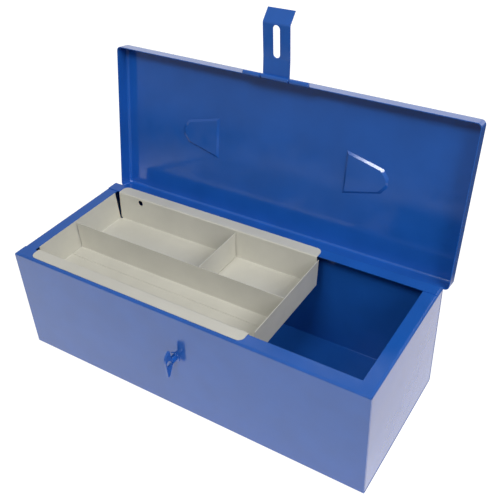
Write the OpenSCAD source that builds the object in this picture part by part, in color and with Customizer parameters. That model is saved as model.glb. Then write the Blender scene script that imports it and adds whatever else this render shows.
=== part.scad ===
// Steel tool box with a hinged lid and a sliding tray. Lengths are in millimetres.
// +X runs along the box, -Y is its front and +Z is up. The origin is the middle of the base.
// The lid and all that it carries are drawn closed and then opened about the rear hinges.

/* [Body] */
// Length of the body
body_length = 500; // [450:1:620]
// Depth of the body from front to back
body_depth = 200; // [170:1:260]
// Height of the body
body_height = 155; // [135:1:220]
// Thickness of the body and lid sheet
sheet = 1; // [0.8:0.1:1.2]
// Width of the flanges around the opening
flange_width = 18; // [16:0.5:22]
// Inside radius of the bends along the top edges
top_bend = 2; // [1:0.5:4]
// Inside radius of the bends along the bottom edges
bottom_bend = 1.5; // [1:0.5:3]
// Inside radius of the end panels' upright bends
side_bend = 1; // [0.5:0.5:2]
// Width of the weld tabs that the end panels fold inwards
tab_width = 15; // [8:1:20]

/* [Lid] */
// Angle between the closed and the open lid
lid_open = 99.6; // [95:0.1:106]
// Gap between the lid's end skirts and the body
lid_end_gap = 2; // [1:0.1:3]
// Gap between the lid's front and back skirts and the body
lid_front_gap = 2.6; // [2.2:0.1:4]
// Height of the closed lid's panel above the body
lid_rise = 2.5; // [2.2:0.1:5]
// Height of the lid's skirt, outside
skirt_height = 20.8; // [16:0.1:26]
// Inside radius of the bend around the lid's panel
lid_bend = 4; // [2:0.5:4.5]
// Outside radius of the lid's upright corners
lid_corner = 6; // [5.8:0.1:10]
// Depth that the handle pads are pressed into the lid
pad_depth = 2.2; // [1:0.1:2.2]
// Width of the sloped border around each pad
pad_slope = 3; // [2:0.5:5]
// Length of each pad's longer side, towards the middle of the lid
pad_long = 57; // [50:1:70]
// Length of each pad's shorter side
pad_short = 28; // [26:1:40]
// Size of the cuts across each pad's two outer corners
pad_corner = 8; // [4:0.5:9]

/* [Rear hinges] */
// Distance of each hinge's middle from the middle of the box
hinge_x = 150; // [110:1:180]
// Width of each hinge
hinge_width = 60; // [45:1:75]
// Width of each hinge's middle knuckle, on the lid's leaf
hinge_middle = 29; // [20:1:30]
// Thickness of the hinge strip
hinge_strip = 1.5; // [1.2:0.1:1.8]
// Diameter of the hinge pins
hinge_pin = 4; // [3:0.1:4.4]
// Distance of the hinge axis behind the lid's back skirt
hinge_reach = 6; // [5.9:0.1:8]
// Distance of the hinge axis below the lid's rim
hinge_drop = 3.7; // [3.6:0.1:6]
// Length of the body leaf below the hinge axis
body_leaf_length = 30; // [18:1:40]
// Length of the lid leaf above the hinge axis
lid_leaf_length = 18; // [12:0.5:19]

/* [Hasp] */
// Width of the hasp's leaf
hasp_width = 90; // [70:1:120]
// Width of each of the leaf's two knuckles
hasp_knuckle = 24; // [18:1:26]
// Thickness of the hasp's plates
hasp_strip = 1.5; // [1.2:0.1:2]
// Diameter of the hasp's pin
hasp_pin_size = 3; // [2.5:0.1:4]
// Distance of the hasp's axis below the lid's rim
hasp_drop = 4.2; // [4:0.1:6]
// Length of the leaf above the hasp's axis
hasp_leaf_length = 14; // [12:0.5:19]
// Distance that the leaf's plate stays inside its knuckles at each end
hasp_leaf_inset = 7; // [0:0.5:10]
// Angle between the plumb and the raised strap
strap_open = 81.6; // [60:0.1:120]
// Width of the strap
strap_width = 37; // [30:0.5:40]
// Distance from the hasp's axis to the crease under the slot
strap_slant = 23; // [18:0.5:23.5]
// Distance that the strap's first stretch slants away from the body
strap_kick = 1.8; // [0.5:0.1:3]
// Gap between the closed strap and the body at the bend of the lip
strap_gap = 2; // [1.6:0.1:3]
// Distance from the hasp's axis to the bend of the lip
lip_start = 65; // [60:0.5:70]
// Length of the lip
lip_length = 18.3; // [10:0.1:26]
// Angle that the lip stands away from the strap
lip_angle = 42.5; // [15:0.5:45]
// Distance from the hasp's axis to the slot
slot_start = 24; // [24:0.5:26]
// Length of the slot
slot_length = 39.5; // [34:0.5:40]
// Width of the slot
slot_width = 9.6; // [9.2:0.1:12]

/* [Swivel staple] */
// Thickness of the staple's wing
wing_thickness = 3; // [2:0.1:4]
// Distance that the wing stands out from its neck
wing_depth = 12; // [9:0.5:16]
// Gap between each end of the wing and the slot
wing_gap = 1.5; // [1.4:0.1:3]
// Diameter of the staple's neck
neck_size = 8.4; // [6:0.1:8.6]
// Diameter of the spindle that turns in the front wall
spindle_size = 6; // [4:0.1:6]
// Diameter of the washers on the spindle
washer_size = 15; // [12:0.5:20]

/* [Tray] */
// Length of the tray
tray_length = 330; // [260:1:380]
// Height of the tray below its flanges
tray_height = 41.8; // [30:0.1:60]
// Thickness of the tray's sheet
tray_sheet = 0.8; // [0.6:0.1:1]
// Inside radius of the tray's bends
tray_bend = 1; // [0.5:0.1:1.5]
// Width of the tray's flanges
tray_flange = 16; // [14:0.5:17]
// Radius of the flanges' outer corners
tray_corner = 8; // [3:0.5:12]
// Distance that the tray's walls lean in at the bottom
tray_draft = 3; // [1:0.5:5]
// Gap between the tray and the opening, front and back
tray_side_gap = 2; // [1:0.1:3]
// Gap between the tray and the opening at the end of its slide
tray_end_gap = 1.5; // [0.5:0.1:4]
// Gap of the tray's corner slots at the bottom
corner_slot = 1.2; // [0.8:0.1:2]
// Distance from the tray's end walls to the foot of its leaning sides
end_trim = 2; // [1.8:0.1:6]
// Distance of the long divider in front of the tray's middle
divider_y = 8; // [0:0.5:25]
// Width of the long divider's foot
long_foot = 18.5; // [10:0.5:25]
// Distance of the long divider's top below the tray's flanges
long_top = 0.5; // [0.4:0.1:10]
// Distance from the tray's left end to the cross divider
cross_x = 204.5; // [120:0.5:230]
// Width of the cross divider's foot
cross_foot = 15; // [8:0.5:20]
// Distance of the cross divider's top below the tray's flanges
cross_top = 2; // [0.5:0.1:12]
// Gap between the cross divider and the tray's back wall
cross_gap = 1; // [0.5:0.1:3]
// Gap between the long divider and the tray's left end
divider_gap = 1.2; // [0.5:0.1:3]
// Diameter of the hanging hole in the tray's back wall
tray_hole = 8; // [3:0.5:8]
// Distance of that hole below the tray's flanges
tray_hole_drop = 6.5; // [5:0.5:15]
// Distance of that hole from the tray's left end
tray_hole_x = 43.5; // [20:0.5:100]

/* [Handle] */
// Distance between the handle's two legs
handle_width = 200; // [150:1:220]
// Distance from the handle's axis to its grip
handle_height = 62; // [50:1:80]
// Distance of the handle in front of the middle of the lid
handle_y = 2; // [0:0.5:8]
// Diameter of the handle's rod
rod_size = 7; // [5:0.5:7]
// Radius of the rod's bends, at the middle of the rod
rod_bend = 9; // [8:0.5:14]
// Length of the rod's feet beyond the legs
foot_length = 43; // [36:1:50]
// Diameter of the grip
grip_size = 15; // [12:0.5:20]
// Length of the grip
grip_length = 112; // [80:1:120]
// Thickness of the saddle brackets
saddle_strip = 1.5; // [1:0.1:2]
// Width of the saddle brackets along the rod
saddle_width = 20; // [12:1:22]
// Length of each saddle bracket across the rod
saddle_span = 25; // [20:0.5:25]

/* [Hidden] */
$fn = 48;

blue = "royalblue";
cream = "#c8c8b8";
steel = "silver";
black = "#202020";

// Clearances
pin_gap = 0.05;       // radius of a bore beyond its pin
knuckle_gap = 0.5;    // between neighbouring knuckles
stop_gap = 0.05;      // between the hinges' tails and the lid leaves
turn_gap = 0.1;       // end play of the staple
seat_gap = 0.1;       // rod in its saddles
tray_seat = 0.3;      // between the long divider and the tray's right end
cut = 1;              // overshoot of a cutting shape
lap_size = 0.02;      // overlap that joins a slanted run to its bend
tongue_reach = 0.01;  // reach of the thin strip that joins a run to its bends
film = 0.02;          // thickness of a sheet that only bounds a hull

// Body
half_length = body_length / 2;
half_depth = body_depth / 2;
wall_inside = half_depth - sheet;
opening_x = half_length - flange_width;
opening_y = half_depth - flange_width;
flange_end = half_depth - top_bend - sheet;     // where the flat of the long flanges ends

// Lid
lid_x = half_length + lid_end_gap + sheet;
lid_y = half_depth + lid_front_gap + sheet;
lid_under = body_height + lid_rise;
lid_top = lid_under + sheet;
rim_z = lid_top - skirt_height;

// Rear hinges
hinge_bore = hinge_pin / 2 + pin_gap;
hinge_ring = hinge_bore + hinge_strip;
hinge_y = lid_y + hinge_reach;
hinge_z = rim_z - hinge_drop;
hinge_bend = 1;       // inside radius of the leaves' bends
pin_head = 0.8;       // thickness of a pin's peened ends
head_step = 0.6;      // radius of a peened end inside its knuckle's outer radius

// Hasp
hasp_bore = hasp_pin_size / 2 + pin_gap;
hasp_ring = hasp_bore + hasp_strip;
hasp_y = -lid_y - hasp_ring;
hasp_z = rim_z - hasp_drop;
strap_bend = 3;       // inside radius of the strap's bends

strap_out = hasp_ring + strap_kick;     // outer face of the straight stretch from the axis
plate_step = 0.5;     // from the knuckles to the leaf's plate

// Closed, the strap leans in until the bend of its lip is near the body
plumb_gap = strap_out - hasp_strip - hasp_y - half_depth;
strap_lean = asin((plumb_gap - strap_gap) / lip_start);

// Swivel staple
slot_middle = slot_start + slot_length / 2;
staple_z = hasp_z - slot_middle;
wing_clear = 1;       // between the closed strap and the wing turned across it
wing_y = hasp_y - strap_out * cos(strap_lean) + slot_middle * sin(strap_lean) - wing_clear;
washer = 1;           // thickness of the washers
peen = 1.4;           // thickness of the spindle's peened end
wing_half = slot_length / 2 - wing_gap;
wing_tip = 3.6;       // width of the wing's lower tip
tip_slant = 1.5;      // outer corner of that tip, back from the wing's outer edge
wing_shoulder = 2;    // radius of the wing's round top beyond its depth
eye_width = 6.5;
eye_length = 11;
eye_tilt = 38;        // slant of the eye's long axis away from the wall
eye_rise = 0.5;       // height of the eye's middle above the spindle
neck_root = 2;        // wing beyond the neck, below it
head_rim = 2;         // peened end beyond the spindle's radius

// Tray
tray_x = -opening_x + tray_end_gap;             // outer face of its left end, at the top
tray_y = opening_y - tray_side_gap;
tray_floor = body_height - tray_height;         // underside of the tray
tray_inside = tray_floor + tray_sheet;
flap_start = tray_x + tray_draft + tray_sheet + corner_slot;
flap_end = tray_x + tray_length - tray_draft - tray_sheet - corner_slot;
end_half = tray_y - tray_draft - end_trim;      // half the width of the end walls
relief = 2.5;         // radius of the relief holes at the floor's corners

// Handle
pad_lead = 6;         // from a pad's inner edge to the handle's leg
pad_tail = 9;         // from the rod's end to the pad's outer edge
foot_tail = 7;        // rod beyond its saddle
pad_inner = handle_width / 2 - pad_lead;
pad_outer = handle_width / 2 + foot_length + pad_tail;
pad_floor = lid_top - pad_depth;
saddle_bore = rod_size / 2 + seat_gap;
handle_z = pad_floor + saddle_bore;
saddle_x = handle_width / 2 + foot_length - foot_tail - saddle_width / 2;
saddle_crease = 0.2;  // inside radius of the saddles' foot bends
grip_round = 2.5;     // radius of the grip's ends

// ---- Folded sheet and placing ----

// Angle that an outline turns at corner i, positive to the left
function turn(p, i) =
    let(u = p[i] - p[i - 1], v = p[i + 1] - p[i])
    atan2(u.x * v.y - u.y * v.x, u.x * v.x + u.y * v.y);

// Radius of a bend on the outline itself; the sheet lies to the outline's left
function outline_radius(a, bend, t) = a > 0 ? bend + t : bend;

// Length that the bend at corner i takes from each of its sides
function setback(p, bends, t, i) =
    i == 0 || i == len(p) - 1
        ? 0
        : outline_radius(turn(p, i), bends[i - 1], t) * tan(abs(turn(p, i)) / 2);

// Length that the flat sheet reaches into the bend at corner i, where the bend isn't square
function lap(p, i) =
    i == 0 || i == len(p) - 1 || abs(abs(turn(p, i)) - 90) < 0.001 ? 0 : lap_size;

// Ring of sheet from angle a over an angle of sweep
module bend_sector(bend, t, a, sweep) {
    far = 2 * (bend + t);
    intersection() {
        difference() {
            circle(r = bend + t);
            circle(r = bend);
        }
        polygon([[0, 0], for (f = [0, 0.5, 1]) far * [cos(a + f * sweep), sin(a + f * sweep)]]);
    }
}

// Section of a folded sheet: p holds the outline's sharp corners and bends the inside radii
module folded(p, bends, t) {
    for (i = [0 : len(p) - 2]) {
        u = p[i + 1] - p[i];
        first = setback(p, bends, t, i) - lap(p, i);
        run = norm(u) - first - setback(p, bends, t, i + 1) + lap(p, i + 1);
        before = i == 0 ? 0 : tongue_reach;
        after = i == len(p) - 2 ? 0 : tongue_reach;
        translate(p[i]) rotate(atan2(u.y, u.x)) {
            if (run > lap_size)
                translate([first, 0]) square([run, t]);
            translate([first - before, t / 4]) square([run + before + after, t / 2]);
        }
    }
    for (i = [1 : len(p) - 2]) {
        u = (p[i] - p[i - 1]) / norm(p[i] - p[i - 1]);
        a = turn(p, i);
        side = sign(a);
        left = side * [-u.y, u.x];
        middle = p[i] - u * setback(p, bends, t, i) + left * outline_radius(a, bends[i - 1], t);
        translate(middle) bend_sector(bends[i - 1], t, atan2(-left.y, -left.x), a);
    }
}

// A section in Y and Z, drawn out along X
module along_x(from, to) {
    translate([from, 0, 0]) rotate([90, 0, 90]) linear_extrude(to - from) children();
}

// A section in X and Z, drawn out along Y
module along_y(from, to) {
    translate([0, to, 0]) rotate([90, 0, 0]) linear_extrude(to - from) children();
}

module rod_x(r, from, to) {
    translate([from, 0, 0]) rotate([0, 90, 0]) cylinder(r = r, h = to - from);
}

module rod_y(r, from, to) {
    translate([0, to, 0]) rotate([90, 0, 0]) cylinder(r = r, h = to - from);
}

// Opens the closed lid and what it carries
module opened() {
    translate([0, hinge_y, hinge_z]) rotate([-lid_open, 0, 0]) translate([0, -hinge_y, -hinge_z]) children();
}

module both_ends() {
    children();
    mirror([1, 0, 0]) children();
}

// ---- Body ----

// What is cut off the shell's upper corners, so that they follow the end panels' bends
module shell_corner() {
    r = top_bend + sheet;
    difference() {
        translate([half_length - r, body_height - r]) square(r + cut);
        translate([half_length - r, body_height - r]) circle(r = r);
    }
}

// Front, bottom and back from one sheet, with the long flanges on top
module body_shell() {
    color(blue) difference() {
        along_x(-half_length, half_length)
            folded([
                [-opening_y, body_height], [-half_depth, body_height], [-half_depth, 0],
                [half_depth, 0], [half_depth, body_height], [opening_y, body_height]
            ], [top_bend, bottom_bend, bottom_bend, top_bend], sheet);
        translate([0, 0, staple_z]) rod_y(spindle_size / 2 + pin_gap, -half_depth - cut, -wall_inside + cut);
        both_ends() along_y(-half_depth - cut, half_depth + cut) shell_corner();
    }
}

// Right end wall: its flange and tabs lie inside the shell
module end_panel() {
    top = body_height - sheet;
    foot = sheet;
    panel_side = flange_end;
    union() {
        along_y(-panel_side, panel_side)
            folded([
                [half_length - tab_width, foot], [half_length, foot],
                [half_length, top], [opening_x, top]
            ], [bottom_bend, top_bend], sheet);
        translate([0, 0, foot + bottom_bend + sheet])
            linear_extrude(top - foot - bottom_bend - top_bend - 2 * sheet)
                folded([
                    [half_length - tab_width, -wall_inside], [half_length, -wall_inside],
                    [half_length, wall_inside], [half_length - tab_width, wall_inside]
                ], [side_bend, side_bend], sheet);
    }
}

module end_panel_left() {
    color(blue) mirror([1, 0, 0]) end_panel();
}

module end_panel_right() {
    color(blue) end_panel();
}

// ---- Rear hinges ----

// Width of the knuckle at each end of a hinge
end_knuckle = (hinge_width - hinge_middle) / 2 - knuckle_gap;

module hinge_ring_section() {
    difference() {
        circle(r = hinge_ring);
        circle(r = hinge_bore);
    }
}

// Section of a body knuckle; its tail stops the open lid
module body_knuckle_section() {
    arm_y = half_depth + hinge_strip - hinge_y;
    tail_top = ((hinge_reach - hinge_strip) + hinge_ring * cos(lid_open)) / sin(lid_open) - stop_gap;
    folded([[arm_y, -body_leaf_length], [arm_y, -hinge_ring], [0, -hinge_ring]], [hinge_bend], hinge_strip);
    hinge_ring_section();
    translate([hinge_bore, 0]) square([hinge_strip, tail_top]);
}

module hinge_body_leaf() {
    plate_y = half_depth - hinge_y;
    plate_top = hinge_ring + hinge_bend + hinge_strip;
    translate([0, hinge_y, hinge_z]) difference() {
        union() {
            both_ends() along_x(hinge_width / 2 - end_knuckle, hinge_width / 2) body_knuckle_section();
            along_x(-hinge_width / 2, hinge_width / 2)
                translate([plate_y, -body_leaf_length]) square([hinge_strip, body_leaf_length - plate_top]);
        }
        rod_x(hinge_bore, -hinge_width, hinge_width);
    }
}

module hinge_lid_leaf() {
    outside = hinge_strip - hinge_reach;
    translate([0, hinge_y, hinge_z]) difference() {
        union() {
            along_x(-hinge_middle / 2, hinge_middle / 2) {
                folded([[0, hinge_ring], [outside, hinge_ring], [outside, lid_leaf_length]], [hinge_bend], hinge_strip);
                hinge_ring_section();
            }
            both_ends() along_x(hinge_middle / 2, hinge_width / 2)
                translate([-hinge_reach, hinge_bore]) square([hinge_strip, lid_leaf_length - hinge_bore]);
        }
        rod_x(hinge_bore, -hinge_width, hinge_width);
    }
}

module hinge_pin_rod() {
    translate([0, hinge_y, hinge_z]) {
        rod_x(hinge_pin / 2, -hinge_width / 2, hinge_width / 2);
        both_ends() rod_x(hinge_ring - head_step, hinge_width / 2, hinge_width / 2 + pin_head);
    }
}

module hinge_left_body_leaf() {
    color(blue) translate([-hinge_x, 0, 0]) hinge_body_leaf();
}

module hinge_left_lid_leaf() {
    color(blue) opened() translate([-hinge_x, 0, 0]) hinge_lid_leaf();
}

module hinge_left_pin() {
    color(blue) translate([-hinge_x, 0, 0]) hinge_pin_rod();
}

module hinge_right_body_leaf() {
    color(blue) translate([hinge_x, 0, 0]) hinge_body_leaf();
}

module hinge_right_lid_leaf() {
    color(blue) opened() translate([hinge_x, 0, 0]) hinge_lid_leaf();
}

module hinge_right_pin() {
    color(blue) translate([hinge_x, 0, 0]) hinge_pin_rod();
}

// ---- Lid ----

// Half the width of a pad's outline at x, with a border taken off
function pad_half(x, border) =
    pad_long / 2 - (pad_long - pad_short) / 2 * (x - pad_inner) / (pad_outer - pad_inner) - border;

module pad_outline(border) {
    near = pad_inner + border;
    far = pad_outer - border;
    turned = far - pad_corner;
    end_side = pad_half(far, border) - pad_corner;
    polygon([
        [near, -pad_half(near, border)], [turned, -pad_half(turned, border)],
        [far, -end_side], [far, end_side],
        [turned, pad_half(turned, border)], [near, pad_half(near, border)]
    ]);
}

// The pressed shape of the right pad, from height top down by the pad's depth
module pad_press(top) {
    translate([0, -handle_y, top]) hull() {
        translate([0, 0, -film]) linear_extrude(2 * film) pad_outline(0);
        translate([0, 0, -pad_depth]) linear_extrude(film) pad_outline(pad_slope);
    }
}

// One straight edge of the lid, centred on X, with its outer face on Y = 0
module lid_edge(length) {
    along_x(-length / 2, length / 2)
        folded([[0, rim_z], [0, lid_top], [-lid_corner, lid_top]], [lid_bend], sheet);
}

module lid_pan() {
    flat_x = lid_x - lid_corner;
    flat_y = lid_y - lid_corner;
    color(blue) opened() difference() {
        union() {
            translate([-flat_x, -flat_y, lid_under]) cube([2 * flat_x, 2 * flat_y, sheet]);
            for (a = [0, 180]) {
                rotate(a) translate([0, lid_y, 0]) lid_edge(2 * flat_x);
                rotate(a - 90) translate([0, lid_x, 0]) lid_edge(2 * flat_y);
            }
            for (sx = [0, 1], sy = [0, 1])
                mirror([sx, 0, 0]) mirror([0, sy, 0]) translate([flat_x, flat_y, 0])
                    rotate_extrude(angle = 90)
                        folded([[lid_corner, rim_z], [lid_corner, lid_top], [0, lid_top]], [lid_bend], sheet);
            both_ends() pad_press(lid_under);
        }
        both_ends() pad_press(lid_top);
    }
}

// ---- Handle ----

// Saddle over the rod's right foot
module handle_bracket() {
    side = saddle_span / 2;
    top = 2 * saddle_bore;
    translate([0, -handle_y, pad_floor])
        along_x(saddle_x - saddle_width / 2, saddle_x + saddle_width / 2)
            folded([
                [-side, 0], [-saddle_bore, 0], [-saddle_bore, top],
                [saddle_bore, top], [saddle_bore, 0], [side, 0]
            ], [saddle_crease, saddle_bore, saddle_bore, saddle_crease], saddle_strip);
}

module handle_bracket_left() {
    color(blue) opened() mirror([1, 0, 0]) handle_bracket();
}

module handle_bracket_right() {
    color(blue) opened() handle_bracket();
}

// Places the handle, drawn upright about X, where it hangs plumb on the open lid
module hanging() {
    opened() translate([0, -handle_y, handle_z]) rotate([lid_open - 180, 0, 0]) children();
}

module rod_quarter(start) {
    rotate([90, 0, 0]) rotate(start) rotate_extrude(angle = 90) translate([rod_bend, 0]) circle(d = rod_size);
}

module handle_bail() {
    leg = handle_width / 2;
    r = rod_size / 2;
    color(steel) hanging() union() {
        both_ends() {
            rod_x(r, leg + rod_bend, leg + foot_length);
            translate([leg + rod_bend, 0, rod_bend]) rod_quarter(180);
            translate([leg, 0, rod_bend]) cylinder(r = r, h = handle_height - 2 * rod_bend);
            translate([leg - rod_bend, 0, handle_height - rod_bend]) rod_quarter(0);
        }
        translate([0, 0, handle_height]) rod_x(r, rod_bend - leg, leg - rod_bend);
    }
}

module handle_grip() {
    r = grip_size / 2;
    bore = rod_size / 2 + pin_gap;
    end = grip_length / 2;
    color(black) hanging() translate([0, 0, handle_height]) rotate([0, 90, 0]) rotate_extrude()
        difference() {
            union() {
                translate([0, -end + grip_round]) square([r, grip_length - 2 * grip_round]);
                translate([0, -end]) square([r - grip_round, grip_length]);
                for (z = [-end + grip_round, end - grip_round]) translate([r - grip_round, z]) circle(r = grip_round);
            }
            translate([-r, -end - cut]) square([r + bore, grip_length + 2 * cut]);
        }
}

// ---- Hasp ----

module hasp_ring_section() {
    difference() {
        circle(r = hasp_ring);
        circle(r = hasp_bore);
    }
}

module hasp_leaf() {
    half = hasp_width / 2;
    color(blue) opened() translate([0, hasp_y, hasp_z]) difference() {
        union() {
            both_ends() along_x(half - hasp_knuckle, half) {
                hasp_ring_section();
                translate([hasp_bore, 0]) square([hasp_strip, hasp_ring + 2 * plate_step]);
            }
            along_x(hasp_leaf_inset - half, half - hasp_leaf_inset)
                translate([hasp_bore, hasp_ring + plate_step])
                    square([hasp_strip, hasp_leaf_length - hasp_ring - plate_step]);
        }
        rod_x(hasp_bore, -hasp_width, hasp_width);
    }
}

module hasp_pin() {
    half = hasp_width / 2;
    color(blue) opened() translate([0, hasp_y, hasp_z]) {
        rod_x(hasp_pin_size / 2, -half, half);
        both_ends() rod_x(hasp_ring - head_step, half, half + pin_head);
    }
}

// Strap drawn plumb, hanging from the hasp's axis in front of the staple's place
module strap_plumb() {
    half = strap_width / 2;
    lip_end = [-strap_out - lip_length * sin(lip_angle), -lip_start - lip_length * cos(lip_angle)];
    slot_r = slot_width / 2;
    front = -strap_out - cut;
    depth = hasp_strip + 2 * cut;
    difference() {
        along_x(-half, half) {
            hasp_ring_section();
            folded([[-hasp_ring, 0], [-strap_out, -strap_slant], [-strap_out, -lip_start], lip_end],
                [strap_bend, strap_bend], hasp_strip);
        }
        rod_x(hasp_bore, -strap_width, strap_width);
        for (d = [slot_start + slot_r, slot_start + slot_length - slot_r])
            translate([0, 0, -d]) rod_y(slot_r, front, front + depth);
        translate([-slot_r, front, slot_r - slot_start - slot_length])
            cube([slot_width, depth, slot_length - slot_width]);
    }
}

module hasp_strap() {
    color(blue) opened() translate([0, hasp_y, hasp_z]) rotate([-strap_open, 0, 0]) strap_plumb();
}

// ---- Swivel staple ----

// Outline of the wing in Y and Z about the spindle's axis: round above, a slim blade below.
// Its inner edge leans with the closed strap, which it turns across.
module wing_outline() {
    outer_y = wing_y - wing_depth;
    arc = wing_depth + wing_shoulder;
    arc_z = wing_half - arc;
    lean = tan(strap_lean);
    intersection() {
        translate([outer_y + arc, arc_z]) circle(r = arc);
        polygon([
            [outer_y, arc_z], [wing_y - lean * arc_z, arc_z],
            [wing_y - lean * wing_half, wing_half], [outer_y, wing_half]
        ]);
    }
    polygon([
        [outer_y, arc_z], [outer_y + tip_slant, -wing_half], [outer_y + tip_slant + wing_tip, -wing_half],
        [wing_y, -neck_size / 2 - neck_root], [wing_y, 0], [wing_y - lean * arc_z, arc_z]
    ]);
}

// Slanted eye for a padlock's shackle
module wing_eye() {
    half = (eye_length - eye_width) / 2;
    translate([0, wing_y - wing_depth / 2, eye_rise]) rotate([eye_tilt, 0, 0]) {
        for (z = [-half, half]) translate([0, 0, z]) rod_x(eye_width / 2, -wing_thickness, wing_thickness);
        translate([-wing_thickness, -eye_width / 2, -half]) cube([2 * wing_thickness, eye_width, 2 * half]);
    }
}

module swivel_staple() {
    back = -half_depth - washer;
    inner = -wall_inside + washer + turn_gap;
    color(blue) translate([0, 0, staple_z]) union() {
        difference() {
            along_x(-wing_thickness / 2, wing_thickness / 2) wing_outline();
            wing_eye();
        }
        rod_y(neck_size / 2, wing_y - cut, back - turn_gap);
        rod_y(spindle_size / 2, back - turn_gap - cut, inner + peen);
        rod_y(spindle_size / 2 + head_rim, inner, inner + peen);
    }
}

module spindle_washer() {
    difference() {
        rod_y(washer_size / 2, 0, washer);
        rod_y(spindle_size / 2 + pin_gap, -cut, washer + cut);
    }
}

module staple_base_washer() {
    color(blue) translate([0, -half_depth - washer, staple_z]) spindle_washer();
}

module staple_inner_washer() {
    color(blue) translate([0, -wall_inside, staple_z]) spindle_washer();
}

// ---- Tray ----

// Front and back walls with their flanges, and the floor between them
module tray_flaps() {
    low_y = tray_y - tray_draft;
    out_y = tray_y + tray_flange;
    along_x(flap_start, flap_end)
        folded([
            [-out_y, body_height], [-tray_y, body_height], [-low_y, tray_floor],
            [low_y, tray_floor], [tray_y, body_height], [out_y, body_height]
        ], [tray_bend, tray_bend, tray_bend, tray_bend], tray_sheet);
}

// Left end wall, leaning out, with the strip of floor that it rises from
module tray_end(floor_x) {
    along_y(-end_half, end_half)
        folded([[tray_x, body_height], [tray_x + tray_draft, tray_floor], [floor_x, tray_floor]],
            [tray_bend], tray_sheet);
}

// Cuts the outer corners of the flanges round
module flange_corner_cut() {
    out_y = tray_y + tray_flange;
    translate([0, 0, body_height - cut]) linear_extrude(tray_sheet + 2 * cut) difference() {
        translate([flap_start - cut, out_y - tray_corner]) square(tray_corner + cut);
        translate([flap_start + tray_corner, out_y - tray_corner]) circle(r = tray_corner);
    }
}

module tray_pan() {
    middle_x = tray_x + tray_length / 2;
    low_y = tray_y - tray_draft;
    color(cream) difference() {
        union() {
            tray_flaps();
            tray_end(flap_start + cut);
            translate([2 * middle_x, 0, 0]) mirror([1, 0, 0]) tray_end(flap_start + cut);
        }
        for (side = [0, 1]) translate([side * 2 * middle_x, 0, 0]) mirror([side, 0, 0]) {
            flange_corner_cut();
            mirror([0, 1, 0]) flange_corner_cut();
            for (y = [-low_y, low_y]) translate([flap_start, y, tray_floor - cut])
                cylinder(r = relief, h = 3 * cut);
        }
        translate([tray_x + tray_hole_x, 0, body_height - tray_hole_drop])
            rod_y(tray_hole / 2, low_y - cut, tray_y + cut);
    }
}

// Outline in X and Z that fits between the tray's leaning ends and clears their bends
module tray_length_outline(left_gap, right_gap, top) {
    lean = tray_draft * (top - tray_floor) / tray_height;
    left = tray_x + tray_draft + tray_sheet + left_gap;
    right = tray_x + tray_length - tray_draft - tray_sheet - right_gap;
    polygon([
        [left + tray_bend, tray_inside], [right - tray_bend, tray_inside],
        [right, tray_inside + tray_bend], [right + lean, top],
        [left - lean + 2 * left_gap, top], [left, tray_inside + tray_bend]
    ]);
}

module tray_long_divider() {
    top = body_height - long_top;
    back = -divider_y;
    color(cream) intersection() {
        along_x(tray_x, tray_x + tray_length)
            folded([[back - tray_sheet - long_foot, tray_inside], [back, tray_inside], [back, top]],
                [tray_bend], tray_sheet);
        along_y(back - 2 * long_foot, back + cut) tray_length_outline(divider_gap, tray_seat, top);
    }
}

module tray_cross_divider() {
    top = body_height - cross_top;
    front = -divider_y;
    wall = tray_y - tray_draft - tray_sheet;
    lean = tray_draft * (top - tray_floor) / tray_height;
    right = tray_x + cross_x + tray_sheet;
    color(cream) intersection() {
        along_y(-tray_y, tray_y)
            folded([[right - tray_sheet - cross_foot, tray_inside], [right, tray_inside], [right, top]],
                [tray_bend], tray_sheet);
        along_x(right - cross_foot - 2 * cut, right + cut)
            polygon([
                [front, tray_inside], [wall - 2 * cross_gap, tray_inside],
                [wall + lean - cross_gap, top], [front, top]
            ]);
    }
}

body_shell();
end_panel_left();
end_panel_right();
hinge_left_body_leaf();
hinge_left_lid_leaf();
hinge_left_pin();
hinge_right_body_leaf();
hinge_right_lid_leaf();
hinge_right_pin();
lid_pan();
handle_bracket_left();
handle_bracket_right();
handle_bail();
handle_grip();
hasp_leaf();
hasp_pin();
hasp_strap();
swivel_staple();
staple_base_washer();
staple_inner_washer();
tray_pan();
tray_long_divider();
tray_cross_divider();
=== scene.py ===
"""Looks of a steel chest tool box with a sliding tray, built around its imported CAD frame."""

import math

import bpy
from mathutils import Matrix, Vector


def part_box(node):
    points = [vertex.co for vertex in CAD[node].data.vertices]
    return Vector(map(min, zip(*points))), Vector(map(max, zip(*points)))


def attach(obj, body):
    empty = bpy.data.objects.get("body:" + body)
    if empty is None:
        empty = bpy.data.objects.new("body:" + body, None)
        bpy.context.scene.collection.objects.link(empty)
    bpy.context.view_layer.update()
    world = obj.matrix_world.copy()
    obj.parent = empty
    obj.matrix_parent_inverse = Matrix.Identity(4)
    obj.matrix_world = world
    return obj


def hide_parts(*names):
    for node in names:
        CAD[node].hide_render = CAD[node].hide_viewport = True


bl_info = {
    "name": "Steel Tool Box Looks",
    "version": (1, 0, 0),
    "blender": (4, 5, 0),
    "location": "3D View > Sidebar > Tool Box",
    "description": "Paint, edges, grip and studio for a chest tool box",
    "category": "Object",
}

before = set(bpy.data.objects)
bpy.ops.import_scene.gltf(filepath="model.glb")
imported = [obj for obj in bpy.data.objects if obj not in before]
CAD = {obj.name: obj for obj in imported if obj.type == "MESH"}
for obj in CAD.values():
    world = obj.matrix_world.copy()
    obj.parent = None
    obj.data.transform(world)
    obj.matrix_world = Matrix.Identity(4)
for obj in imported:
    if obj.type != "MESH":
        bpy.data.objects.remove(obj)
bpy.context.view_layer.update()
MM = 0.001

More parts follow.
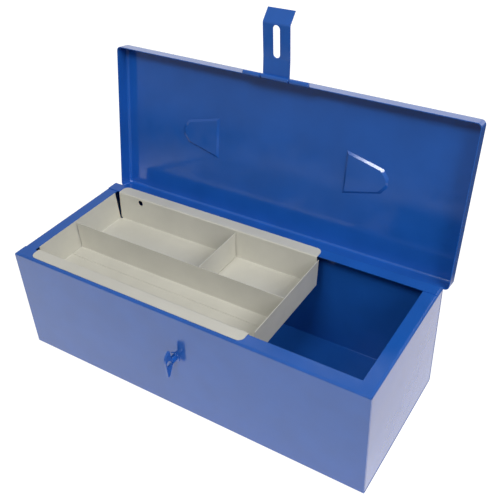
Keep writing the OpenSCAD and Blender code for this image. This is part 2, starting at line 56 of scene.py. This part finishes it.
BODY_NODES = ("body_shell", "end_panel_left", "end_panel_right")
HINGE_NODES = tuple(
    f"hinge_{side}_{piece}" for side in ("left", "right") for piece in ("body_leaf", "lid_leaf", "pin")
)
BRACKET_NODES = ("handle_bracket_left", "handle_bracket_right")
HASP_NODES = ("hasp_leaf", "hasp_pin", "hasp_strap")
STAPLE_NODES = ("swivel_staple", "staple_base_washer", "staple_inner_washer")
TRAY_NODES = ("tray_pan", "tray_long_divider", "tray_cross_divider")

# Rounding of folded and cut edges
WELD_DISTANCE = 0.002 * MM
FLAT_ANGLE = math.radians(0.5)
SHARP_ANGLE = math.radians(24)
EDGE_SEGMENTS = 2
FLAT_WEIGHT = 90

# The part of a noise pattern's range that is stretched over its two levels
SPREAD = (0.3, 0.7)
WIDE_SPREAD = (0.3, 0.75)
FULL_SPREAD = (0.0, 1.0)

# Soft steps in the floor's brightness: axis, start and end in metres, and the level before and after.
# The sheet of paper ends at these, and the room's own floor beyond it is dim
SHEET_ENDS = (
    ("Y", -0.85, -0.5, 0.066, 1.0),
    ("X", -0.75, -0.45, 0.15, 1.0),
    ("X", 0.35, 0.8, 1.0, 0.1),
)
# Painted reflections, seen only in reflections: the floor's glow dims beside the box as painted shade, is
# nearly black behind it, and glows sixteen times as bright further back as a painted highlight
PAINTED_REFLECTION_STEPS = (
    ("Y", -0.15, 0.05, 1.0, 0.87),
    ("Y", 0.27, 0.33, 1.0, 0.06),
    ("Y", 1.0, 1.6, 1.0, 16.0),
)
# Painted reflection, seen only in reflections: the room in front of the sheet glows too, most of all to the
# left
FRONT_PAINTED_GLOW = 0.3
FRONT_PAINTED_GLOW_STEPS = (
    ("Y", -1.15, -0.8, 1.0, 0.0),
    ("X", -1.0, -0.4, 1.2, 0.6),
)
# To the right of the box the floor's painted reflection is a little warmer
WARM_REFLECTION_START = 0.2
WARM_REFLECTION_END = 0.28
WARM_REFLECTION_WHITE = "FFF7F0"

# The floor is nearly white around the box, where its shadow falls, and pure white further off
SHADOW_WHITE = 0.9
SHADOW_REACH = 0.7
WHITE_REACH = 2.2
SHADED_GREY = "8A8A8A"

PURE_WHITE = "FFFFFF"
FLOOR_WHITE = "F2F2F2"
BACKDROP_WHITE = "D8D8D8"
# The hung paper's painted reflection fades into the room's between these heights
BACKDROP_FADE = (0.9, 1.4)

# Soft boxes: name, middle, width and height in metres, and the property that sets the power
SOFT_BOXES = (
    ("key_soft_box", (1.7, -0.5, 1.6), (1.2, 1.0), "key_power"),
    ("front_soft_box", (0.2, -1.6, 2.28), (0.9, 0.6), "front_power"),
    ("back_soft_box", (-0.4, 2.0, 1.5), (2.6, 0.9), "back_power"),
)
LAMP_AIM = Vector((0, 0, 0.1))
SENSOR_WIDTH = 36


# ---- Sizes and colours that a user would change ----


def to_linear(colour):
    """The linear RGBA of an sRGB hex colour such as 1C54AA."""
    parts = [int(colour[i:i + 2], 16) / 255 for i in (0, 2, 4)]
    return tuple(c / 12.92 if c <= 0.04045 else ((c + 0.055) / 1.055) ** 2.4 for c in parts) + (1.0,)


def colour_property(name, description, default):
    return bpy.props.StringProperty(name=name, description=description, default=default, maxlen=6)


def roughness_property(name, description, default):
    return bpy.props.FloatProperty(
        name=name, description=description, default=default, min=0.02, max=1.0, subtype="FACTOR",
    )


def small_length_property(name, description, default, low, high):
    """A length that is given in millimetres."""
    return bpy.props.FloatProperty(
        name=name, description=description, default=default * MM, min=low * MM, max=high * MM,
        unit="LENGTH", precision=5,
    )


def angle_property(name, description, degrees):
    return bpy.props.FloatProperty(
        name=name, description=description, default=math.radians(degrees), unit="ROTATION",
    )


def power_property(name, description, default):
    return bpy.props.FloatProperty(
        name=name, description=description, default=default, min=0, max=500, unit="POWER",
    )


def strength_property(name, description, default):
    return bpy.props.FloatProperty(name=name, description=description, default=default, min=0, max=3)


class ToolBoxFinish(bpy.types.PropertyGroup):
    """Colours and gloss of the finishes"""

    body_blue: colour_property("Body blue", "Blue of the enamel, as sRGB hex", "1C58AD")
    tray_cream: colour_property("Tray cream", "Cream of the tray's enamel, as sRGB hex", "C9C7BC")
    zinc_grey: colour_property("Zinc grey", "Reflected colour of the plated rod, as sRGB hex", "C9CBCE")
    grip_black: colour_property("Grip black", "Black of the moulded grip, as sRGB hex", "191A1C")
    blue_roughness: roughness_property("Blue roughness", "Roughness of the blue enamel", 0.13)
    cream_roughness: roughness_property("Cream roughness", "Roughness of the cream enamel", 0.36)


class ToolBoxShape(bpy.types.PropertyGroup):
    """Rounding of the edges and shape of the grip"""

    sheet_edge: small_length_property(
        "Sheet edge", "Rounding of the painted edges of the sheet", 0.3, 0.05, 0.45,
    )
    plate_edge: small_length_property(
        "Plate edge", "Rounding of the edges of hinges, hasp and staple", 0.45, 0.05, 0.6,
    )
    rod_edge: small_length_property("Rod edge", "Rounding of the ends of the handle's rod", 0.2, 0.05, 0.6)
    grip_grooves: bpy.props.IntProperty(
        name="Grip grooves", description="Number of grooves around the grip", default=9, min=3, max=20,
    )
    groove_depth: small_length_property(
        "Groove depth", "Depth of the grooves around the grip", 1.1, 0.2, 2.0,
    )


class ToolBoxStage(bpy.types.PropertyGroup):
    """Camera and light"""

    camera_place: bpy.props.FloatVectorProperty(
        name="Camera place", description="Where the camera stands", size=3,
        default=(0.431646, -0.575168, 0.707042), unit="LENGTH", subtype="XYZ",
    )
    camera_azimuth: angle_property("Azimuth", "Direction of the camera round the box", 33.697)
    camera_elevation: angle_property("Elevation", "How far the camera looks down", 36.219)
    camera_roll: angle_property("Roll", "Tilt of the camera about its own axis", -2.815)
    lens: bpy.props.FloatProperty(
        name="Lens", description="Focal length in millimetres", default=53.07, min=10, max=300,
    )
    key_power: power_property("Key lamp", "Power of the soft box above the right end", 31.0)
    front_power: power_property("Front lamp", "Power of the soft box in front", 30.0)
    back_power: power_property("Back lamp", "Power of the soft box behind the lid", 22.0)
    room_light: strength_property("Room light", "Strength of the even light around the box", 0.145)
    room_seen: strength_property("Reflected room", "Strength of the room in reflections", 0.4)
    paper_seen: strength_property("Reflected paper", "Strength of the floor's paper in reflections", 1.46)
    backdrop_seen: strength_property("Reflected backdrop", "Strength of the hung paper in reflections", 1.25)


# ---- Nodes and modifiers ----


def add_node(tree, kind, inputs=None, **settings):
    """Adds a node. Inputs are values, or the output sockets that feed them."""
    made = tree.nodes.new(kind)
    for name, value in settings.items():
        setattr(made, name, value)
    for socket, value in (inputs or {}).items():
        if isinstance(value, bpy.types.NodeSocket):
            tree.links.new(value, made.inputs[socket])
        else:
            made.inputs[socket].default_value = value
    return made


def new_material(name):
    material = bpy.data.materials.new(name)
    material.use_nodes = True
    material.node_tree.nodes.clear()
    return material, material.node_tree


def end_material(tree, shader):
    add_node(tree, "ShaderNodeOutputMaterial", {"Surface": shader})


def set_material(piece, material):
    piece.data.materials.clear()
    piece.data.materials.append(material)


def round_edges(piece, width):
    """Rounds a folded or cut piece's edges as its paint does, and keeps its flats flat."""
    weld = piece.modifiers.new("Weld", "WELD")
    weld.merge_threshold = WELD_DISTANCE
    flats = piece.modifiers.new("Flats", "DECIMATE")
    flats.decimate_type = "DISSOLVE"
    flats.angle_limit = FLAT_ANGLE
    bevel = piece.modifiers.new("Edges", "BEVEL")
    bevel.width = width
    bevel.segments = EDGE_SEGMENTS
    bevel.limit_method = "ANGLE"
    bevel.angle_limit = SHARP_ANGLE
    bevel.miter_outer = "MITER_ARC"
    shading = piece.modifiers.new("Shading", "WEIGHTED_NORMAL")
    shading.weight = FLAT_WEIGHT
    shading.keep_sharp = False


# ---- Finishes ----


def drifting(tree, place, patch, detail, levels, spread):
    """A value that drifts between two levels, over patches of a width in millimetres."""
    noise = add_node(tree, "ShaderNodeTexNoise", {
        "Vector": place, "Scale": 1 / (patch * MM), "Detail": detail,
    })
    return add_node(tree, "ShaderNodeMapRange", {
        "Value": noise.outputs["Fac"], "From Min": spread[0], "From Max": spread[1],
        "To Min": levels[0], "To Max": levels[1],
    }).outputs["Result"]


def clouded(tree, place, colour, patch, detail, levels, spread=SPREAD):
    """A colour whose lightness drifts between two levels."""
    shade = drifting(tree, place, patch, detail, levels, spread)
    toned = add_node(tree, "ShaderNodeHueSaturation", {"Color": to_linear(colour), "Value": shade})
    return toned.outputs["Color"]


def bumped(tree, place, wave, detail, depth, below=None):
    """Normals of waves of a width and depth in millimetres, laid over the waves below."""
    noise = add_node(tree, "ShaderNodeTexNoise", {
        "Vector": place, "Scale": 1 / (wave * MM), "Detail": detail,
    })
    inputs = {"Height": noise.outputs["Fac"], "Strength": 1.0, "Distance": depth * MM}
    if below:
        inputs["Normal"] = below
    return add_node(tree, "ShaderNodeBump", inputs).outputs["Normal"]


def blue_enamel(finish):
    """Gloss alkyd enamel sprayed on folded sheet steel: deep royal blue, a clear reflection that
    wavers with the sheet, and the fine ripple that sprayed paint dries with."""
    material, tree = new_material("gloss_blue_enamel")
    place = add_node(tree, "ShaderNodeTexCoord").outputs["Object"]
    rough = (finish.blue_roughness - 0.03, finish.blue_roughness + 0.07)
    sheet = bumped(tree, place, 70, 1.0, 0.3)
    shader = add_node(tree, "ShaderNodeBsdfPrincipled", {
        "Base Color": clouded(tree, place, finish.body_blue, 45, 3.0, (0.93, 1.06)),
        "Roughness": drifting(tree, place, 18, 4.0, rough, WIDE_SPREAD),
        # Real spray ripple is 1 to 2 mm wide; it is drawn 4 mm wide so that it shows
        "Normal": bumped(tree, place, 4, 1.0, 0.015, sheet),
        "IOR": 1.6,
    })
    end_material(tree, shader.outputs["BSDF"])
    return material


def cream_enamel(finish):
    """Satin stoving enamel on thin sheet steel: warm pale grey, a soft sheen that varies from patch
    to patch, and the faint waves of thin sheet."""
    material, tree = new_material("satin_cream_enamel")
    place = add_node(tree, "ShaderNodeTexCoord").outputs["Object"]
    rough = (finish.cream_roughness - 0.06, finish.cream_roughness + 0.08)
    sheet = bumped(tree, place, 50, 1.0, 0.5)
    shader = add_node(tree, "ShaderNodeBsdfPrincipled", {
        "Base Color": clouded(tree, place, finish.tray_cream, 38, 5.0, (0.95, 1.03)),
        "Roughness": drifting(tree, place, 12, 4.0, rough, WIDE_SPREAD),
        "Normal": bumped(tree, place, 3, 2.0, 0.03, sheet),
        "IOR": 1.5,
    })
    end_material(tree, shader.outputs["BSDF"])
    return material


def plated_rod(finish):
    """Bright zinc plate on drawn steel rod: a grey metal with a soft, patchy reflection and the
    slight unevenness of the plating."""
    material, tree = new_material("bright_zinc_plate")
    place = add_node(tree, "ShaderNodeTexCoord").outputs["Object"]
    shader = add_node(tree, "ShaderNodeBsdfPrincipled", {
        "Base Color": clouded(tree, place, finish.zinc_grey, 9, 4.0, (0.88, 1.04)),
        "Roughness": drifting(tree, place, 9, 4.0, (0.18, 0.42), FULL_SPREAD),
        "Normal": bumped(tree, place, 1.5, 2.0, 0.02),
        "Metallic": 1.0,
    })
    end_material(tree, shader.outputs["BSDF"])
    return material


def black_plastic(finish):
    """Moulded polypropylene: near black, a broad soft sheen and the fine grain of a spark-eroded mould."""
    material, tree = new_material("moulded_black_polypropylene")
    place = add_node(tree, "ShaderNodeTexCoord").outputs["Object"]
    shader = add_node(tree, "ShaderNodeBsdfPrincipled", {
        "Base Color": clouded(tree, place, finish.grip_black, 10, 3.0, (0.8, 1.25), FULL_SPREAD),
        "Roughness": 0.42,
        "Normal": bumped(tree, place, 0.8, 2.0, 0.04),
        "IOR": 1.49,
    })
    end_material(tree, shader.outputs["BSDF"])
    return material


FINISHES = {
    "blue_enamel": blue_enamel,
    "cream_enamel": cream_enamel,
    "plated_rod": plated_rod,
    "black_plastic": black_plastic,
}
made_finishes = {}


def finish_of(context, slot):
    """The material of a finish, made the first time that it is asked for."""
    if slot not in made_finishes:
        made_finishes[slot] = FINISHES[slot](context.scene.tool_box_finish)
    return made_finishes[slot]


def dress(context, names, slot, edge):
    """Gives CAD nodes their finish and rounds their edges."""
    for name in names:
        set_material(CAD[name], finish_of(context, slot))
        round_edges(CAD[name], edge)


# ---- Modelling ----


def select_points(piece, wanted):
    """In edit mode, selects only the points that satisfy a test."""
    bpy.ops.mesh.select_all(action="DESELECT")
    bpy.ops.object.mode_set(mode="OBJECT")
    for vertex in piece.data.vertices:
        vertex.select = wanted(vertex.co)
    bpy.ops.object.mode_set(mode="EDIT")


def select_edges(piece, wanted):
    """In edit mode, selects only the edges whose two ends satisfy a test."""
    bpy.ops.mesh.select_all(action="DESELECT")
    bpy.ops.object.mode_set(mode="OBJECT")
    mesh = piece.data
    for edge in mesh.edges:
        ends = [mesh.vertices[i].co for i in edge.vertices]
        edge.select = wanted(*ends)
        if edge.select:
            for i in edge.vertices:
                mesh.vertices[i].select = True
    bpy.ops.object.mode_set(mode="EDIT")


def scale_ring(middle, factor):
    """Scales the selected points about an axis along X."""
    bpy.ops.transform.resize(value=(1, factor, factor), orient_type="GLOBAL", center_override=middle)


# ---- Pieces ----


class TOOLBOX_OT_body(bpy.types.Operator):
    """Paint the body's shell and its two end walls"""

    bl_idname = "toolbox.body"
    bl_label = "Body"

    def execute(self, context):
        dress(context, BODY_NODES, "blue_enamel", context.scene.tool_box_shape.sheet_edge)
        return {"FINISHED"}


class TOOLBOX_OT_lid(bpy.types.Operator):
    """Paint the lid and the saddles of its handle"""

    bl_idname = "toolbox.lid"
    bl_label = "Lid"

    def execute(self, context):
        dress(context, ("lid_pan",) + BRACKET_NODES, "blue_enamel", context.scene.tool_box_shape.sheet_edge)
        return {"FINISHED"}


class TOOLBOX_OT_fittings(bpy.types.Operator):
    """Paint the rear hinges, the hasp and the swivel staple"""

    bl_idname = "toolbox.fittings"
    bl_label = "Hinges, Hasp and Staple"

    def execute(self, context):
        edge = context.scene.tool_box_shape.plate_edge
        dress(context, HINGE_NODES + HASP_NODES + STAPLE_NODES, "blue_enamel", edge)
        return {"FINISHED"}


class TOOLBOX_OT_tray(bpy.types.Operator):
    """Paint the tray and its dividers"""

    bl_idname = "toolbox.tray"
    bl_label = "Tray"

    def execute(self, context):
        dress(context, TRAY_NODES, "cream_enamel", context.scene.tool_box_shape.sheet_edge)
        return {"FINISHED"}


class TOOLBOX_OT_handle(bpy.types.Operator):
    """Plate the handle's rod and model its grooved grip"""

    bl_idname = "toolbox.handle"
    bl_label = "Handle"

    sides: bpy.props.IntProperty(
        name="Sides", description="Facets around the grip", default=64, min=16,
    )
    rings: bpy.props.IntProperty(
        name="Rings", description="Rings cut along the grip for each groove", default=16, min=8,
    )
    bore: small_length_property("Bore", "Radius of the hole through the grip", 3.55, 1.0, 6.0)
    collar: small_length_property("Collar", "Length of the plain collar at each end", 9.0, 3.0, 20.0)
    end_rounding: small_length_property("End rounding", "Radius of the rounding at each end", 2.5, 0.5, 3.0)

    def execute(self, context):
        shape = context.scene.tool_box_shape
        dress(context, ("handle_bail",), "plated_rod", shape.rod_edge)
        low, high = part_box("handle_grip")
        middle = (low + high) / 2
        length = high.x - low.x
        radius = (high.z - low.z) / 2
        grip = self.add_tube(middle, length, radius)
        bpy.ops.object.mode_set(mode="EDIT")
        self.shape_rings(grip, low.x, middle, length, radius, shape)
        self.bore_through(grip, (low.x, high.x), middle, radius)
        bpy.ops.object.mode_set(mode="OBJECT")
        bpy.ops.object.shade_smooth_by_angle(angle=math.radians(35))
        set_material(grip, finish_of(context, "black_plastic"))
        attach(grip, "handle")
        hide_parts("handle_grip")
        return {"FINISHED"}

    def add_tube(self, middle, length, radius):
        """Adds the grip as an open tube along X, with its place in its mesh."""
        bpy.ops.object.select_all(action="DESELECT")
        bpy.ops.mesh.primitive_cylinder_add(
            vertices=self.sides, radius=radius, depth=length, end_fill_type="NOTHING",
            location=middle, rotation=(0, math.pi / 2, 0),
        )
        grip = bpy.context.active_object
        grip.name = "handle_grip_moulded"
        bpy.ops.object.transform_apply(location=True, rotation=True, scale=True)
        return grip

    def shape_rings(self, grip, start, middle, length, radius, shape):
        """Cuts the tube into rings and scales each to the grip's outline."""
        bpy.ops.mesh.select_mode(type="EDGE")
        select_edges(grip, lambda a, b: abs(a.x - b.x) > length / 2)
        cuts = self.rings * shape.grip_grooves
        bpy.ops.mesh.subdivide(number_cuts=cuts - 1)
        bpy.ops.mesh.select_mode(type="VERT")
        reach = length / cuts / 4
        for step in range(cuts + 1):
            along = length * step / cuts
            x = start + along
            select_points(grip, lambda point: abs(point.x - x) < reach)
            scale_ring((x, middle.y, middle.z), self.ring_radius(along, length, radius, shape) / radius)

    def ring_radius(self, along, length, radius, shape):
        """Radius of the grip at a distance from its left end."""
        near = min(along, length - along)
        rounding = self.end_rounding
        if near < rounding:
            return radius - rounding + math.sqrt(max(0.0, rounding ** 2 - (rounding - near) ** 2))
        if near < self.collar:
            return radius
        turn = (along - self.collar) / (length - 2 * self.collar) * shape.grip_grooves
        return radius - shape.groove_depth * math.sin(math.pi * turn) ** 2

    def bore_through(self, grip, ends, middle, radius):
        """Turns both ends inwards to the bore, joins them along it and closes the mesh."""
        rim = radius - self.end_rounding
        for end in ends:
            select_points(grip, lambda point: abs(point.x - end) < 0.01 * MM)
            bpy.ops.mesh.extrude_region_move()
            scale_ring((end, middle.y, middle.z), self.bore / rim)
        bpy.ops.mesh.select_mode(type="EDGE")
        bore_edge = 1.05 * self.bore
        select_edges(grip, lambda a, b: all(
            math.hypot(point.y - middle.y, point.z - middle.z) < bore_edge for point in (a, b)
        ))
        bpy.ops.mesh.bridge_edge_loops()
        bpy.ops.mesh.select_all(action="SELECT")
        bpy.ops.mesh.remove_doubles(threshold=0.001 * MM)
        bpy.ops.mesh.normals_make_consistent(inside=False)


# ---- Studio ----


def mirrored_rays(tree, path):
    """1 for rays that look at a thing in a reflection or through glass, else 0."""
    return add_node(tree, "ShaderNodeMath", {
        0: path["Is Glossy Ray"], 1: path["Is Transmission Ray"],
    }, operation="ADD", use_clamp=True).outputs["Value"]


def stepped(tree, split, level, steps):
    """Multiplies a level by soft steps along the floor."""
    for axis, start, end, before, after in steps:
        step = add_node(tree, "ShaderNodeMapRange", {
            "Value": split[axis], "From Min": start, "From Max": end, "To Min": before, "To Max": after,
        }, interpolation_type="SMOOTHSTEP").outputs["Result"]
        level = add_node(tree, "ShaderNodeMath", {0: level, 1: step}, operation="MULTIPLY").outputs["Value"]
    return level


def painted_floor_reflection(tree, split, sheet, stage):
    """The floor's painted reflection, a glow seen only in reflections: as deep and wide as a studio sheet,
    with the room around it.
    """
    shade = stepped(tree, split, sheet, PAINTED_REFLECTION_STEPS)
    front = stepped(tree, split, FRONT_PAINTED_GLOW, FRONT_PAINTED_GLOW_STEPS)
    level = add_node(tree, "ShaderNodeMath", {
        0: shade, 1: stage.paper_seen, 2: front,
    }, operation="MULTIPLY_ADD").outputs["Value"]
    right = add_node(tree, "ShaderNodeMapRange", {
        "Value": split["X"], "From Min": WARM_REFLECTION_START, "From Max": WARM_REFLECTION_END,
    }).outputs["Result"]
    warm_reflection_tint = add_node(tree, "ShaderNodeMix", {
        0: right, 6: to_linear(PURE_WHITE), 7: to_linear(WARM_REFLECTION_WHITE),
    }, data_type="RGBA").outputs[2]
    return add_node(tree, "ShaderNodeEmission", {"Color": warm_reflection_tint, "Strength": level}).outputs["Emission"]


def floor_paper(stage):
    """White background paper, matt: it throws soft light up on the box and keeps a faint shadow. In
    reflections it is a glow instead, a painted reflection.
    """
    material, tree = new_material("matt_background_paper")
    path = add_node(tree, "ShaderNodeLightPath").outputs
    place = add_node(tree, "ShaderNodeTexCoord").outputs["Object"]
    split = add_node(tree, "ShaderNodeSeparateXYZ", {"Vector": place}).outputs
    away = add_node(tree, "ShaderNodeVectorMath", {0: place}, operation="LENGTH").outputs["Value"]
    whiteness = add_node(tree, "ShaderNodeMapRange", {
        "Value": away, "From Min": SHADOW_REACH, "From Max": WHITE_REACH,
        "To Min": SHADOW_WHITE, "To Max": 1.0,
    }).outputs["Result"]
    glow = add_node(tree, "ShaderNodeEmission", {"Strength": whiteness}).outputs["Emission"]
    shaded = add_node(tree, "ShaderNodeBsdfDiffuse", {"Color": to_linear(SHADED_GREY)}).outputs["BSDF"]
    seen = add_node(tree, "ShaderNodeAddShader", {0: shaded, 1: glow}).outputs["Shader"]
    sheet = stepped(tree, split, 1.0, SHEET_ENDS)
    white = add_node(tree, "ShaderNodeHueSaturation", {"Color": to_linear(FLOOR_WHITE), "Value": sheet})
    paper = add_node(tree, "ShaderNodeBsdfDiffuse", {"Color": white.outputs["Color"]}).outputs["BSDF"]
    # In reflections the floor is a glow that paints the reflections on the box
    painted_reflection = painted_floor_reflection(tree, split, sheet, stage)
    fallen = add_node(tree, "ShaderNodeMixShader", {0: mirrored_rays(tree, path), 1: paper, 2: painted_reflection})
    mixed = add_node(tree, "ShaderNodeMixShader", {
        0: path["Is Camera Ray"], 1: fallen.outputs["Shader"], 2: seen,
    })
    end_material(tree, mixed.outputs["Shader"])
    return material


def backdrop_paper(stage):
    """The same paper hung upright behind the box. In reflections it glows, a painted reflection that faces
    seen at a slant show, and towards its top the room takes its place."""
    material, tree = new_material("hung_background_paper")
    path = add_node(tree, "ShaderNodeLightPath").outputs
    paper = add_node(tree, "ShaderNodeBsdfDiffuse", {"Color": to_linear(BACKDROP_WHITE)}).outputs["BSDF"]
    place = add_node(tree, "ShaderNodeTexCoord").outputs["Object"]
    height = add_node(tree, "ShaderNodeSeparateXYZ", {"Vector": place}).outputs["Z"]
    # A painted reflection: the glow that reflections see, fading into the room with height
    painted_reflection = add_node(tree, "ShaderNodeMapRange", {
        "Value": height, "From Min": BACKDROP_FADE[0], "From Max": BACKDROP_FADE[1],
        "To Min": stage.backdrop_seen, "To Max": stage.room_seen,
    }, interpolation_type="SMOOTHSTEP").outputs["Result"]
    level = add_node(tree, "ShaderNodeMix", {0: path["Is Camera Ray"], 2: painted_reflection, 3: 1.0}).outputs[0]
    lit = add_node(tree, "ShaderNodeEmission", {"Strength": level}).outputs["Emission"]
    looked_at = add_node(tree, "ShaderNodeMath", {
        0: mirrored_rays(tree, path), 1: path["Is Camera Ray"],
    }, operation="ADD", use_clamp=True).outputs["Value"]
    mixed = add_node(tree, "ShaderNodeMixShader", {0: looked_at, 1: paper, 2: lit})
    end_material(tree, mixed.outputs["Shader"])
    return material


class TOOLBOX_OT_stage(bpy.types.Operator):
    """Set the white floor, the soft light and the camera"""

    bl_idname = "toolbox.stage"
    bl_label = "Stage"

    floor_size: bpy.props.FloatProperty(
        name="Floor size", description="Width of the floor", default=24, unit="LENGTH",
    )
    floor_depth: small_length_property("Floor depth", "How far the floor lies under the box", 0.2, 0.0, 1.0)
    backdrop_size: bpy.props.FloatVectorProperty(
        name="Backdrop size", description="Width and height of the paper hung behind the box", size=2,
        default=(9, 1.4), unit="LENGTH",
    )
    backdrop_place: bpy.props.FloatVectorProperty(
        name="Backdrop place", description="Middle of the lower edge of the hung paper", size=2,
        default=(-2, 4), unit="LENGTH",
    )

    def execute(self, context):
        stage = context.scene.tool_box_stage
        width, height = self.backdrop_size
        below = (0, 0, -self.floor_depth)
        behind = (*self.backdrop_place, height / 2)
        self.lay_paper("studio_floor", floor_paper(stage), below, (self.floor_size, self.floor_size), 0)
        self.lay_paper("studio_backdrop", backdrop_paper(stage), behind, (width, height), math.pi / 2)
        self.light_room(context, stage)
        for name, place, size, power in SOFT_BOXES:
            self.hang_lamp(context, name, Vector(place), size, getattr(stage, power))
        self.set_camera(context, stage)
        context.scene.view_settings.view_transform = "Standard"
        return {"FINISHED"}

    def lay_paper(self, name, material, place, size, tilt):
        """Lays or hangs a sheet of background paper."""
        bpy.ops.object.select_all(action="DESELECT")
        bpy.ops.mesh.primitive_plane_add(size=1, location=place, rotation=(tilt, 0, 0))
        sheet = bpy.context.active_object
        sheet.name = name
        sheet.scale = (*size, 1)
        bpy.ops.object.transform_apply(location=True, rotation=True, scale=True)
        set_material(sheet, material)

    def light_room(self, context, stage):
        """The room around the box: white to the camera, grey in reflections, and dim as light."""
        world = bpy.data.worlds.new("studio_room")
        world.use_nodes = True
        tree = world.node_tree
        tree.nodes.clear()
        path = add_node(tree, "ShaderNodeLightPath").outputs
        fallen = add_node(tree, "ShaderNodeMapRange", {
            "Value": mirrored_rays(tree, path), "To Min": stage.room_light, "To Max": stage.room_seen,
        }).outputs["Result"]
        strength = add_node(tree, "ShaderNodeMix", {0: path["Is Camera Ray"], 2: fallen, 3: 1.0}).outputs[0]
        light = add_node(tree, "ShaderNodeBackground", {
            "Color": to_linear(PURE_WHITE), "Strength": strength,
        })
        add_node(tree, "ShaderNodeOutputWorld", {"Surface": light.outputs["Background"]})
        context.scene.world = world

    def hang_lamp(self, context, name, place, size, power):
        """Hangs a soft box that faces the tool box."""
        lamp = bpy.data.lights.new(name, "AREA")
        lamp.shape = "RECTANGLE"
        lamp.size, lamp.size_y = size
        lamp.energy = power
        holder = bpy.data.objects.new(name, lamp)
        holder.location = place
        holder.rotation_euler = (LAMP_AIM - place).to_track_quat("-Z", "Y").to_euler()
        context.scene.collection.objects.link(holder)

    def set_camera(self, context, stage):
        data = bpy.data.cameras.new("camera")
        data.sensor_width = SENSOR_WIDTH
        data.lens = stage.lens
        data.clip_start = 0.01
        data.clip_end = 100
        camera = bpy.data.objects.new("camera", data)
        turn = Matrix.Rotation(stage.camera_azimuth, 4, "Z")
        tip = Matrix.Rotation(math.pi / 2 - stage.camera_elevation, 4, "X")
        roll = Matrix.Rotation(stage.camera_roll, 4, "Z")
        camera.matrix_world = Matrix.Translation(stage.camera_place) @ turn @ tip @ roll
        context.scene.collection.objects.link(camera)
        context.scene.camera = camera


class TOOLBOX_PT_panel(bpy.types.Panel):
    """Buttons and sizes of the tool box"""

    bl_label = "Tool Box"
    bl_idname = "TOOLBOX_PT_panel"
    bl_space_type = "VIEW_3D"
    bl_region_type = "UI"
    bl_category = "Tool Box"

    def draw(self, context):
        layout = self.layout
        for operator in OPERATORS:
            layout.operator(operator.bl_idname)
        for group in GROUPS:
            settings = getattr(context.scene, group)
            box = layout.box()
            for name in settings.__annotations__:
                box.prop(settings, name)


OPERATORS = (
    TOOLBOX_OT_body,
    TOOLBOX_OT_lid,
    TOOLBOX_OT_fittings,
    TOOLBOX_OT_tray,
    TOOLBOX_OT_handle,
    TOOLBOX_OT_stage,
)
GROUPS = {
    "tool_box_finish": ToolBoxFinish,
    "tool_box_shape": ToolBoxShape,
    "tool_box_stage": ToolBoxStage,
}


def register():
    for cls in tuple(GROUPS.values()) + OPERATORS + (TOOLBOX_PT_panel,):
        bpy.utils.register_class(cls)
    for name, group in GROUPS.items():
        setattr(bpy.types.Scene, name, bpy.props.PointerProperty(type=group))


def unregister():
    for name in GROUPS:
        delattr(bpy.types.Scene, name)
    for cls in (TOOLBOX_PT_panel,) + OPERATORS[::-1] + tuple(GROUPS.values()):
        bpy.utils.unregister_class(cls)


def main():
    register()
    bpy.ops.toolbox.body()
    bpy.ops.toolbox.lid()
    bpy.ops.toolbox.fittings()
    bpy.ops.toolbox.tray()
    bpy.ops.toolbox.handle()
    bpy.ops.toolbox.stage()
    bpy.context.view_layer.update()


if __name__ == "__main__":
    main()
